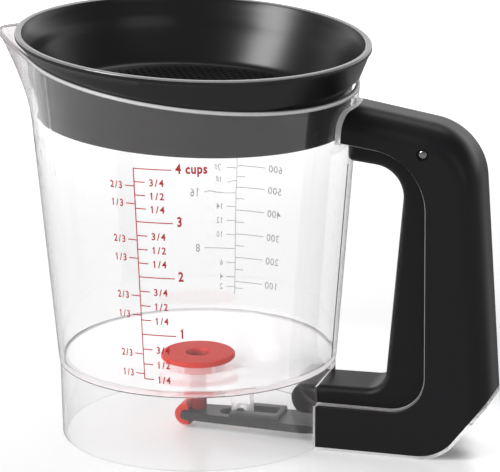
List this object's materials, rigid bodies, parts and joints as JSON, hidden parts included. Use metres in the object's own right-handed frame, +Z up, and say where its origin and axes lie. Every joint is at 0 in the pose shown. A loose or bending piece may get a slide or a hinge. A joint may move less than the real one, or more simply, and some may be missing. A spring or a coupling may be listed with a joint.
{
  "type": "gravy fat separator",
  "caption": "Clear tapered cup with a pouring spout, lift-out strainer lid and a trigger handle whose lever lifts a silicone plug off a drain hole in the cup's floor.",
  "frame": {"origin": "on the table, at the centre of the footprint of the whole part, between the spout's tip and the handle's back", "axes": "+Z up; +X towards the handle and -X towards the spout; the part is the same on both sides of the plane Y = 0"},
  "size_m": [0.2002, 0.1382, 0.1626],
  "materials": {
    "clear_plastic": "clear, polished",
    "black_plastic": "satin, fine grain",
    "grey_plastic": "satin",
    "red_silicone": "soft, matt",
    "steel": "drawn wire, bright"
  },
  "bodies": {
    "vessel": {"cup": "clear_plastic", "base_skirt": "clear_plastic", "handle_cover": "black_plastic", "handle_frame": "clear_plastic", "trigger_pin": "steel", "return_spring": "steel"},
    "trigger": {"trigger": "black_plastic"},
    "lever": {"lever_arm": "grey_plastic"},
    "plug": {"drain_plug": "red_silicone"},
    "strainer": {"strainer": "black_plastic"}
  },
  "joints": [
    {"name": "trigger_squeeze", "type": "hinge", "parent": "vessel", "child": "trigger", "pos_m": [0.07515, 0, 0.122], "axis": [0, -1, 0], "range_deg": [0, 4], "stiffness_Nm_per_rad": 2, "springref_deg": -5.73, "deforming": ["return_spring"]},
    {"name": "arm_rock", "type": "hinge", "parent": "vessel", "child": "lever", "pos_m": [-0.00185, 0, 0.008], "axis": [0, 1, 0], "range_deg": [0, 5.05]},
    {"name": "plug_lift", "type": "slide", "parent": "vessel", "child": "plug", "axis": [0, 0, 1], "range_m": [0, 0.002]},
    {"name": "strainer_lift", "type": "slide", "parent": "vessel", "child": "strainer", "axis": [0, 0, 1], "range_m": [0, 0.05]}
  ],
  "couplings": [
    {"joint": "arm_rock", "follows": "trigger_squeeze", "ratio": 1.25},
    {"joint": "plug_lift", "follows": "trigger_squeeze", "m_per_rad": 0.02844}
  ]
}
